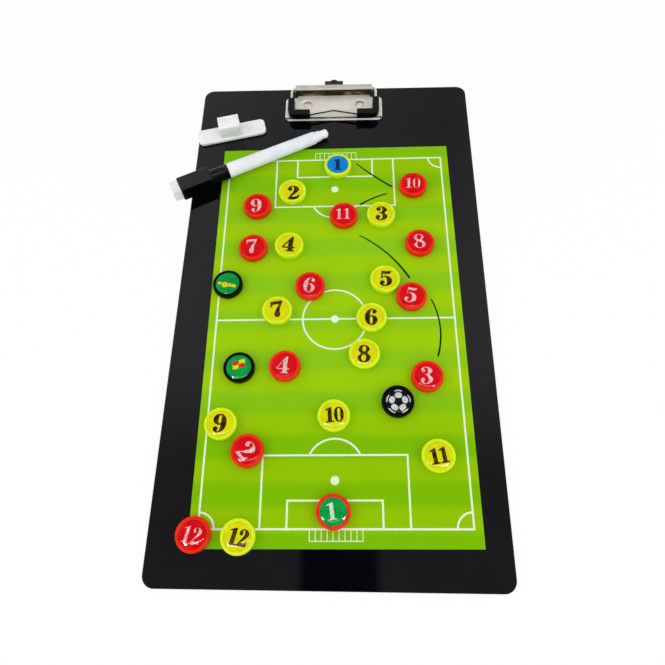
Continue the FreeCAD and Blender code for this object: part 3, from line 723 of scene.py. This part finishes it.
strokes = {
    # each line drawn with the pen: its start, a point on its bend and its end, from the pitch centre, and
    # its width at its start and end
    "tip": 0.6, "taper": 0.04, "thickness": 0.05, "steps": 40,
    "runs": [
        ((17.56, 139.26), (30.71, 127.12), (46.28, 115.17), (1.0, 1.6)),
        ((19.81, 98.59), (27.21, 103.0), (41.96, 108.78), (1.5, 1.1)),
        ((18.93, 70.3), (37.0, 56.75), (55.87, 32.27), (0.9, 1.6)),
        ((70.43, 15.12), (75.44, -5.85), (72.22, -29.85), (0.95, 1.35)),
    ],
}


def circleThrough(a, b, c):
    # centre of the circle through three points
    ab, ac = b - a, c - a
    cross = 2 * (ab.x * ac.y - ab.y * ac.x)
    near, far = ab.dot(ab), ac.dot(ac)
    return a + Vector((ac.y * near - ab.y * far, ab.x * far - ac.x * near)) / cross


def drawStrokes():
    bm = bmesh.new()
    for *run, (startWidth, endWidth) in strokes["runs"]:
        a, b, c = [Vector(point) for point in run]
        centre = circleThrough(a, b, c)
        radius = (a - centre).length
        first = math.degrees(math.atan2(a.y - centre.y, a.x - centre.x))
        sweep = -math.degrees((a - centre).angle_signed(c - centre))
        stroke = bmesh.new()
        addArc(stroke, 0, 0, radius, 1.0, 0, sweep, strokes["steps"])
        for vert in stroke.verts:
            # a little narrower at both ends, where the pen landed and left
            along = abs(math.degrees(math.atan2(vert.co.y, vert.co.x)) / sweep)
            share = min(1.0, strokes["tip"] + min(along, 1 - along) / strokes["taper"])
            share *= startWidth + (endWidth - startWidth) * along
            reach = vert.co.length
            vert.co *= (radius * mm + (reach - radius * mm) * share) / reach
        joinInto(bm, stroke, 0, Matrix.Translation(inMetres((*centre, 0))) @ turnedBy(first))
    layOnFilm(bm, strokes["thickness"])
    addPiece("pen_strokes", bm, "board", [finishes["markerInk"]])


drawStrokes()
print("pitch: lines and pen strokes drawn")


# counters

digitShapes = {
    # bold book numerals, one unit high: x, y and 1 at a corner, 0 where the line is smooth
    "0": [oval(0.31, 0.5, 0.31, 0.5), oval(0.31, 0.5, 0.095, 0.44)],
    "1": [[(0.04, 0, 1), (0.58, 0, 1), (0.58, 0.05, 1), (0.43, 0.09, 1), (0.43, 1, 1), (0.34, 1, 1),
           (0.03, 0.87, 1), (0.03, 0.81, 1), (0.19, 0.84, 1), (0.19, 0.09, 1), (0.04, 0.05, 1)]],
    "2": [[(0.02, 0, 1), (0.56, 0, 1), (0.61, 0.32, 1), (0.57, 0.32, 1), (0.5, 0.2, 0), (0.17, 0.19, 1),
           (0.46, 0.48, 0), (0.6, 0.745, 0), (0.31, 1, 0), (0.07, 0.89, 0), (0.03, 0.75, 0), (0.13, 0.63, 0),
           (0.24, 0.74, 0), (0.18, 0.88, 0), (0.27, 0.95, 0), (0.36, 0.745, 0), (0.28, 0.5, 0),
           (0.02, 0.07, 1)]],
    "3": [[(0.04, 0.78, 0), (0.08, 0.9, 0), (0.3, 1, 0), (0.57, 0.77, 0), (0.45, 0.55, 0), (0.6, 0.28, 0),
           (0.29, 0, 0), (0.05, 0.1, 0), (0.02, 0.235, 0), (0.12, 0.35, 0), (0.225, 0.25, 0),
           (0.17, 0.11, 0), (0.27, 0.05, 0), (0.37, 0.28, 0), (0.29, 0.5, 0), (0.18, 0.51, 1),
           (0.18, 0.56, 1), (0.28, 0.57, 0), (0.35, 0.77, 0), (0.27, 0.95, 0), (0.19, 0.9, 0),
           (0.245, 0.79, 0), (0.14, 0.67, 0)]],
    "4": [[(0.22, 0, 1), (0.63, 0, 1), (0.63, 0.045, 1), (0.54, 0.075, 1), (0.54, 0.22, 1), (0.65, 0.22, 1),
           (0.65, 0.29, 1), (0.54, 0.29, 1), (0.54, 1, 1), (0.46, 1, 1), (0.01, 0.29, 1), (0.01, 0.22, 1),
           (0.32, 0.22, 1), (0.32, 0.075, 1), (0.22, 0.045, 1)],
          [(0.09, 0.29, 1), (0.32, 0.29, 1), (0.32, 0.68, 1)]],
    "5": [[(0.09, 0.99, 1), (0.3, 0.965, 0), (0.55, 1, 1), (0.5, 0.84, 0), (0.3, 0.79, 0), (0.13, 0.82, 1),
           (0.125, 0.59, 1), (0.31, 0.66, 0), (0.6, 0.34, 0), (0.28, 0, 0), (0.05, 0.1, 0), (0.02, 0.23, 0),
           (0.125, 0.345, 0), (0.23, 0.24, 0), (0.17, 0.11, 0), (0.26, 0.05, 0), (0.37, 0.34, 0),
           (0.25, 0.6, 0), (0.14, 0.55, 0), (0.085, 0.49, 1)]],
    "6": [[(0.36, 1, 0), (0.02, 0.45, 0), (0.31, 0, 0), (0.61, 0.3, 0), (0.38, 0.585, 0), (0.245, 0.53, 1),
           (0.27, 0.8, 0), (0.37, 0.95, 0), (0.43, 0.9, 0), (0.375, 0.81, 0), (0.47, 0.7, 0), (0.575, 0.8, 0),
           (0.52, 0.93, 0)],
          oval(0.315, 0.29, 0.08, 0.235)],
    "7": [[(0.02, 0.66, 1), (0.06, 0.66, 1), (0.13, 0.79, 0), (0.3, 0.82, 0), (0.47, 0.8, 1), (0.25, 0.4, 0),
           (0.18, 0.1, 0), (0.29, 0, 0), (0.41, 0.1, 0), (0.42, 0.4, 0), (0.61, 0.93, 1), (0.61, 1, 1),
           (0.05, 1, 1)]],
    "8": [[(0.31, 1, 0), (0.57, 0.76, 0), (0.46, 0.55, 0), (0.61, 0.265, 0), (0.3, 0, 0), (0.01, 0.26, 0),
           (0.16, 0.49, 0), (0.05, 0.75, 0)],
          oval(0.325, 0.775, 0.105, 0.175), oval(0.29, 0.25, 0.13, 0.2)],
}
# a nine is a six turned upside down
digitShapes["9"] = [[(0.62 - x, 1 - y, corner) for x, y, corner in contour] for contour in digitShapes["6"]]

counterColours = {
    # swell makes the print of one digit, and of two, fatter or thinner
    "red": {"cup": [(226, 30, 3), (240, 43, 8)], "label": [(200, 2, 12), (216, 4, 22)],
            "ink": [(204, 146, 150), (244, 214, 212)], "behind": (204, 40, 50), "swell": (-0.012, -0.024)},
    "yellow": {"cup": [(206, 230, 16), (218, 240, 28)], "label": [(209, 208, 0), (222, 217, 2)],
               "ink": [(20, 10, 2), (40, 22, 4)], "behind": (140, 118, 4), "swell": (0.016, 0.016)},
    "black": {"cup": [(2, 2, 2), (4, 4, 4)], "fixed": {"IOR": 1.16}},
    "green": {"label": [(2, 138, 54), (8, 154, 66)], "ink": [(182, 208, 182), (214, 228, 208)],
              "behind": (120, 190, 136), "swell": (-0.012, -0.012)},
    "blue": {"label": [(0, 126, 200), (6, 140, 214)], "ink": [(4, 34, 76), (10, 46, 92)],
             "behind": (4, 70, 140), "swell": (0.016, 0.016)},
    "coal": {"label": [(8, 9, 12), (18, 18, 24)], "ink": [(188, 189, 188), (216, 217, 214)],
             "behind": (168, 169, 168)},
    "flagRed": {"ink": [(206, 26, 26), (226, 44, 34)], "behind": (176, 30, 30)},
    "gold": {"ink": [(212, 208, 8), (228, 222, 22)], "behind": (190, 196, 20)},
    "amber": {"ink": [(150, 90, 4), (180, 116, 8)], "behind": (140, 100, 8)},
    "shade": {"ink": [(4, 112, 50), (6, 122, 54)], "behind": (6, 136, 60)},
}
counterSkins = {
    "cup": {"blotch": 5, "skin": (0.5, 0.0015), "rough": (0.24, 0.1), "fixed": {"IOR": 1.25}},
    "label": {"blotch": 5, "skin": (4.0, 0.02), "rough": (0.07, 0.04), "fixed": {"IOR": 1.18}},
}


def counterFinish(colour, part):
    # one finish for each colour and part of the counters, made when it is first asked for
    name = colour + part.capitalize()
    if name in finishes:
        return finishes[name]
    shades = counterColours[colour]
    if part == "ink":
        return inkFinish(name, shades["ink"], shades["behind"])
    # a colour's own fixed values take the place of the part's
    return mottled(name, {**counterSkins[part], **shades, "shades": shades[part]})


inkLook = {"hatch": 1.3, "hatchTurn": -18, "hatchShow": 0.7, "fleck": 0.9, "fleckShift": 5.0, "patch": 3.0,
           "rough": (0.08, 0.1)}


def inkFinish(name, shades, behind):
    # printed ink: a broken hatch lets the label show through, and the clear dome lies over it
    made = finishOf(name, counterSkins["label"]["fixed"])
    across = made.axes(made.place(turn=math.radians(inkLook["hatchTurn"])))[0]
    fleck = made.noise(inkLook["fleck"] * mm, 3.0)
    patch = made.noise(inkLook["patch"] * mm)
    phase = 2 * math.pi / (inkLook["hatch"] * mm)
    lines = (across * phase + inkLook["fleckShift"] * fleck).wave()
    show = inkLook["hatchShow"] * lines.within(0.1, 0.9) * patch.within(0.38, 0.6)
    ink = made.mix(fleck.within(0.36, 0.62), *paints(shades))
    rough, roughDrift = inkLook["rough"]
    made.feed({"Base Color": made.mix(show, ink, paint(*behind)), "Roughness": rough + roughDrift * fleck})
    made.skin(*counterSkins["label"]["skin"])
    return made.owner


counter = {
    "crown": 0.5, "rimRound": 0.85, "lipRound": 0.12, "rim": 2.15, "footRound": 0.35, "seatGap": 0.1,
    "pocket": 2.4, "pocketWall": 0.3, "discGap": 0.1, "discSet": 0.05, "discRound": 0.25,
    "labelGap": 0.1, "lipDepth": 0.3, "labelRise": 0.8, "labelCurve": 4.5, "labelThickness": 0.09,
    "domeSteps": (0, 0.2, 0.4, 0.55, 0.66, 0.75, 0.82, 0.88, 0.93, 0.97, 1),
    "inkThickness": 0.05, "inkCell": 1.0,
    # printed height in millimetres and widening of one digit, of two, and of the keepers' number
    "single": (12.5, 1.18), "pair": (10.0, 1.0), "keeper": (10.7, 1.1), "pairGap": 0.03,
}
clearLabels = bpy.data.collections.new("clear_labels")


def counterSizes(node):
    # a counter's foot in metres, and its radius and rim height in millimetres; its label crowns its rim
    low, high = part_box(node)
    foot = Vector(((low.x + high.x) / 2, (low.y + high.y) / 2, low.z))
    return foot, (high.x - low.x) / 2 / mm, (high.z - low.z) / mm - counter["crown"]


def domeHeight(x, y, radius, edge):
    # the clear dome is flat in the middle and falls off towards its edge; x and y are in metres
    reach = min(1.0, math.hypot(x, y) / (radius * mm))
    return (edge + counter["labelRise"] * (1 - reach ** counter["labelCurve"])) * mm


def buildCup(node, colour):
    # plastic cup with a ferrite disc in the pocket under it
    foot, radius, height = counterSizes(node)
    lip = radius - counter["rim"]
    seat = height - counter["lipDepth"] - counter["seatGap"]
    pocket, roof = lip - counter["pocketWall"], counter["pocket"]
    bm = spun([(0, roof), (pocket, roof), (pocket, 0), (radius, 0), (radius, height), (lip, height),
               (lip, seat), (0, seat)])
    roundRing(bm, radius, height, counter["rimRound"], segments=5)
    roundRing(bm, lip, height, counter["lipRound"], segments=3)
    roundRing(bm, radius, 0, counter["footRound"], segments=2)
    wide, low, top = pocket - counter["discGap"], counter["discSet"], roof - counter["discSet"]
    disc = spun([(0, low), (wide, low), (wide, top), (0, top)], steps=48)
    roundRing(disc, wide, low, counter["discRound"], segments=2)
    joinInto(bm, disc, 1)
    bmesh.ops.translate(bm, vec=foot, verts=bm.verts)
    coats = [counterFinish(colour, "cup"), finishes["ferrite"]]
    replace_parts(addPiece(node + "_cup", bm, node, coats), node)


def buildLabel(node, colour, marks, turn):
    # marks lists (mesh, ink finish) already in place on a flat label
    foot, radius, height = counterSizes(node)
    labelRadius = radius - counter["rim"] - counter["labelGap"]
    edge = height - counter["lipDepth"]
    under = edge - counter["labelThickness"]
    dome = []
    for share in counter["domeSteps"]:
        reach = labelRadius * share
        dome.append((reach, domeHeight(reach * mm, 0, labelRadius, edge) / mm))
    bm = spun(dome + [(labelRadius, under), (0, under)], steps=64)
    inks = []
    for mark, ink in marks:
        moveBy(mark, turnedBy(turn))
        bendToDome(mark, labelRadius, edge)
        if ink not in inks:
            inks.append(ink)
        joinInto(bm, mark, inks.index(ink) + 1)
    bmesh.ops.translate(bm, vec=foot, verts=bm.verts)
    piece = addPiece(node + "_label", bm, node, [counterFinish(colour, "label")] + inks)
    clearLabels.objects.link(piece)


def bendToDome(mark, radius, edge):
    # cuts a flat mark into small cells and lays it on the swollen label
    cell = counter["inkCell"] * mm
    for axis in (0, 1):
        low = min(vert.co[axis] for vert in mark.verts)
        high = max(vert.co[axis] for vert in mark.verts)
        normal = Vector((1 - axis, axis, 0))
        for step in range(1, math.ceil((high - low) / cell)):
            geom = mark.verts[:] + mark.edges[:] + mark.faces[:]
            cut = normal * (low + step * cell)
            bmesh.ops.bisect_plane(mark, geom=geom, plane_co=cut, plane_no=normal, dist=1e-8)
    for vert in mark.verts:
        vert.co.z += domeHeight(vert.co.x, vert.co.y, radius, edge)


def numeral(text, size, swell, shiftX, shiftY, lean):
    # a number as one mesh, in the middle of its label apart from the shift, which is in millimetres
    height, stretch = counter[size]
    bm = bmesh.new()
    start = 0.0
    for digit in text:
        contours = digitShapes[digit]
        wide = max(x for contour in contours for x, y, corner in contour)
        shape = flatShape(contours, counter["inkThickness"] / height, swell)
        joinInto(bm, shape, 0, Matrix.Translation((start, 0, 0)))
        start += wide + counter["pairGap"]
    middle = Matrix.Translation((-(start - counter["pairGap"]) / 2, -0.5, 0))
    slant = Matrix.Identity(4)
    slant[0][1] = math.tan(math.radians(lean))
    grow = Matrix.Diagonal((height * stretch * mm, height * mm, height * mm, 1))
    shift = Matrix.Translation((shiftX * mm, shiftY * mm, 0))
    moveBy(bm, shift @ grow @ slant @ middle)
    return bm


def drawnMark(contours, lift=0.0):
    # a mark whose outline is given in millimetres from the label's centre; lift puts it over another
    bm = flatShape(contours, counter["inkThickness"])
    bmesh.ops.translate(bm, vec=(0, 0, lift), verts=bm.verts)
    bmesh.ops.scale(bm, vec=(mm, mm, mm), verts=bm.verts)
    return bm


numberedCounters = {
    # number: turn, shift across and up, all as the label was stuck on
    "red": {1: (8, -1.1, 0.4), 2: (-47, 0.0, -0.1), 3: (-2, -0.7, 0), 4: (-3, -1.0, 0.3),
            5: (-13, -0.7, 0.1), 6: (-6, -0.6, -0.1), 7: (5, -0.9, 0.3), 8: (7, -0.5, 0.3),
            9: (5, -0.7, -0.6), 10: (-3, -0.5, 0.3), 11: (0, -0.6, 0.1), 12: (-9, -0.2, -0.2)},
    "yellow": {1: (0, -0.2, -0.5), 2: (1, 1.0, -2.3), 3: (-3, 0.3, -0.3), 4: (-5, -0.2, 0.2),
               5: (-2, 0.5, -0.3), 6: (0, -0.5, -0.4), 7: (10, 0.0, 0.3), 8: (0, -0.4, -0.5),
               9: (-4, -0.2, 0), 10: (4, 0.4, 0.3), 11: (10, 0.1, -0.2), 12: (-9, 0.7, -0.1)},
}
slantedNumbers = {12: 5}  # number: slant in degrees
keeperLabels = {"red_magnet_01": "green", "yellow_magnet_01": "blue"}
for colour, numbers in numberedCounters.items():
    for number, (turn, across, up) in numbers.items():
        node = f"{colour}_magnet_{number:02d}"
        face = keeperLabels.get(node, colour)
        buildCup(node, colour)
        size = "keeper" if node in keeperLabels else "pair" if number > 9 else "single"
        swell = counterColours[face]["swell"][number > 9]
        mark = numeral(str(number), size, swell, across, up, slantedNumbers.get(number, 0))
        buildLabel(node, face, [(mark, counterFinish(face, "ink"))], turn)
print("counters: numbers done")

ball = {"shift": (0.3, -0.85), "patchAt": 4.55, "patch": (2.5, 1.95), "stripAt": 7.95, "stripLong": 4.9,
        "stripWide": 0.9, "stripBend": 0.4, "stripTaper": 0.2}


def ballMarks():
    # five white panels round a dark middle, and five strips at the edge
    marks = []
    half, bend = ball["stripLong"] / 2, ball["stripBend"]
    low, high = ball["stripAt"] - ball["stripWide"] / 2, ball["stripAt"] + ball["stripWide"] / 2
    corner = high - bend - ball["stripTaper"]
    strip = [(-half, low - bend, 1), (0, low, 0), (half, low - bend, 1),
             (half, corner, 1), (0, high, 0), (-half, corner, 1)]
    wide, tall = ball["patch"]
    angles = [math.radians(60 * step) for step in range(6)]
    panel = [(wide * math.sin(angle), ball["patchAt"] + tall * math.cos(angle), 0) for angle in angles]
    shift = Matrix.Translation(inMetres((*ball["shift"], 0)))
    for step in range(5):
        for outline in (panel, strip):
            mark = drawnMark([outline])
            moveBy(mark, shift @ turnedBy(72 * step))
            marks.append((mark, counterFinish("coal", "ink")))
    return marks


flag = {"centre": (0.2, 1.7), "wide": 4.4, "tall": 3.1, "gap": 0.12, "lift": 0.14, "wave": 0.3,
        "pole": [(-4.55, -3.9), (-4.1, -3.9), (-4.5, -7.4), (-4.9, -7.4)]}


def flagMarks():
    # a waving flag in four quarters, and its pole
    marks = []
    cx, cy = flag["centre"]
    wide, tall, gap = flag["wide"], flag["tall"], flag["gap"]
    for column in (-1, 0):
        for row in (-1, 0):
            x0, x1 = column * wide + gap, (column + 1) * wide - gap
            y0, y1 = row * tall + gap, (row + 1) * tall - gap
            bend = flag["wave"] * (-1 if column else 1)
            middle = (x0 + x1) / 2
            corners = [(x0, y0, 0, 1), (middle, y0, bend, 0), (x1, y0, 0, 1),
                       (x1, y1, 0, 1), (middle, y1, bend, 0), (x0, y1, 0, 1)]
            outline = [(cx + x, cy + y + flag["lift"] * x + up, corner) for x, y, up, corner in corners]
            ink = "gold" if column == row else "flagRed"
            marks.append((drawnMark([outline]), counterFinish(ink, "ink")))
    pole = [(cx + x, cy + y, 1) for x, y in flag["pole"]]
    marks.append((drawnMark([pole]), counterFinish("shade", "ink")))
    return marks


whistle = {
    "barrel": oval(-1.7, -1.6, 2.5, 2.35), "ring": oval(-5.6, -0.5, 1.35, 1.1),
    "mouth": [(0.5, -0.3, 1), (3.6, -0.7, 0), (6.6, -1.35, 1),
              (6.45, -3.25, 1), (3.6, -2.95, 0), (0.5, -3.0, 1)],
    "edge": oval(-1.7, -1.6, 2.45, 2.3), "groove": oval(-1.7, -1.6, 2.2, 2.05),
    "pea": oval(-1.6, -1.6, 0.45, 0.4), "slotAt": (1.2, 2.9, 4.6),
    "slot": [(0, -0.8, 1), (0.4, -0.9, 1), (0.5, -2.2, 1), (0.1, -2.1, 1)],
    "cord": [(-4.6, 5.3, 1), (-1.0, 4.2, 0), (4.6, 3.2, 1), (4.6, 2.7, 1), (-1.0, 3.6, 0), (-4.6, 4.8, 1)],
    "lift": 0.03,
}


def whistleMarks():
    # a round whistle seen from the side, with its ring, mouthpiece and slots
    marks = [(drawnMark([whistle[part]]), "gold") for part in ("barrel", "mouth", "ring")]
    dark = [[whistle["edge"], whistle["groove"]], [whistle["pea"]]]
    for along in whistle["slotAt"]:
        dark.append([[(along + x, y, corner) for x, y, corner in whistle["slot"]]])
    marks += [(drawnMark(contours, whistle["lift"]), "amber") for contours in dark]
    marks.append((drawnMark([whistle["cord"]]), "shade"))
    return [(mark, counterFinish(ink, "ink")) for mark, ink in marks]


signCounters = {
    # label, what is drawn on it, and its turn
    "whistle": ("green", whistleMarks, -4),
    "flag": ("green", flagMarks, 4),
    "ball": ("coal", ballMarks, 0),
}
for sign, (face, marks, turn) in signCounters.items():
    node = "black_magnet_" + sign
    buildCup(node, "black")
    buildLabel(node, face, marks(), turn)
print("counters: signs done")


# studio

studio = {
    "floorSize": 6.0, "floor": (244, 244, 244), "floorRough": 0.8, "floorGlow": 0.92, "floorGap": 0.00005,
    # sky: how bright it is above the clip end, at the sides and low down, and where each begins and is full
    "north": 0.95, "northSpan": (-0.04, 0.36), "northFar": 0.28, "farSpan": (0.4, 0.7), "farSides": 0.6,
    "eastSpan": (0.0, 0.2), "side": 0.4, "sideSpan": (0.08, 0.26), "low": 0.95, "lowSpan": (0.62, 0.28),
    "dark": 0.01, "tint": (0.975, 0.99, 1.01, 1),
    # a dark gap over the camera
    "gapAt": -0.023, "gapSpan": (0.058, 0.076),
    # name, place, width and height, and power
    "lamps": [
        ("front_left", (-0.95, -0.85, 0.95), (0.9, 0.9), 4.5),
        ("front_right", (0.95, -0.85, 0.95), (0.9, 0.9), 4.5),
        ("left", (-1.3, 0.25, 0.95), (0.9, 0.9), 3.0),
        ("right", (1.3, 0.15, 0.95), (0.9, 0.9), 3.0),
        ("strip", (0.0, -0.5, 2.0), (0.9, 0.1), 4.5),
    ],
    # small bright lamps that show only in the clear labels
    "glints": [
        ("glint_middle", (0.0, -0.5, 2.0), (1.6, 0.06), 50.0),
        ("glint_left", (-0.95, -0.62, 1.7), (0.3, 0.22), 40.0),
        ("glint_right", (0.95, -0.62, 1.7), (0.3, 0.22), 40.0),
    ],
    "aim": (0.0, -0.02, 0.0),
}


def buildFloor():
    bm = bmesh.new()
    bmesh.ops.create_grid(bm, x_segments=1, y_segments=1, size=studio["floorSize"] / 2)
    floor = addMesh("studio_floor", bm)
    floor.location.z = cadBox[0][2] - studio["floorGap"]
    made = finishOf("floorPale", {"Base Color": paint(*studio["floor"]), "Roughness": studio["floorRough"]})
    # pale to the eye and in reflections, with some of the object's shadow left
    camera, glossy, clear = [made.node("ShaderNodeLightPath", output=f"Is {ray} Ray")
                             for ray in ("Camera", "Glossy", "Transmission")]
    seen = (camera + glossy + clear).within(0.0, 1.0) * studio["floorGlow"]
    glow = made.node("ShaderNodeEmission", inputs={"Color": (1, 1, 1, 1), "Strength": 1.0})
    shaded = Wire(made, made.shader.outputs[0])
    blend = made.node("ShaderNodeMixShader", inputs={0: seen, 1: shaded, 2: glow})
    made.put(made.tree.nodes["Material Output"].inputs["Surface"], blend)
    floor.data.materials.append(made.owner)


def buildLamps():
    for group in ("lamps", "glints"):
        for name, place, size, power in studio[group]:
            light = bpy.data.lights.new(name, "AREA")
            light.shape = "RECTANGLE"
            light.size, light.size_y = size
            light.energy = power
            holder = addObject(name, light)
            holder.location = place
            toward = Vector(studio["aim"]) - Vector(place)
            holder.rotation_euler = toward.to_track_quat("-Z", "Y").to_euler()
            if group == "glints":
                holder.visible_diffuse = False
                holder.light_linking.receiver_collection = clearLabels


def buildSky(look):
    # dark over and behind the camera, so that flat glossy faces stay deep in the photograph's view
    world = bpy.data.worlds.new("studio")
    bpy.context.scene.world = world
    made = Finish(world)
    x, y, z = made.axes(made.node("ShaderNodeTexCoord", output="Generated"))
    side = (x * x).within(*[reach ** 2 for reach in look["sideSpan"]])
    far = y.within(*look["farSpan"]) * (1 - look["farSides"] * side) * (1 + x.within(*look["eastSpan"]))
    north = y.within(*look["northSpan"]) * (look["north"] - look["northFar"] * far)
    sides = look["side"] * (x - look["gapAt"]).size().within(*look["gapSpan"])
    light = north.larger(sides).larger(look["low"] * z.within(*look["lowSpan"])) + look["dark"]
    made.feed({"Color": look["tint"], "Strength": light})


view = {"place": (15.77, -177.24, 360.58), "target": (1.41, -31.82, 3.2), "roll": -5.342, "lens": 29.08,
        "sensor": 36, "nearest": 10}


def buildCamera():
    camera = bpy.data.cameras.new("photo_view")
    camera.sensor_width = view["sensor"]
    camera.lens = view["lens"]
    camera.clip_start = view["nearest"] * mm
    place = Vector(view["place"]) * mm
    toward = Vector(view["target"]) * mm - place
    turn = toward.to_track_quat("-Z", "Y") @ Quaternion((0, 0, 1), math.radians(view["roll"]))
    holder = addObject("photo_view", camera)
    holder.matrix_world = Matrix.LocRotScale(place, turn, None)
    bpy.context.scene.camera = holder


buildFloor()
buildLamps()
buildSky(studio)
buildCamera()
bpy.context.scene.view_settings.view_transform = "Standard"
print("studio: floor, lamps, sky and camera")
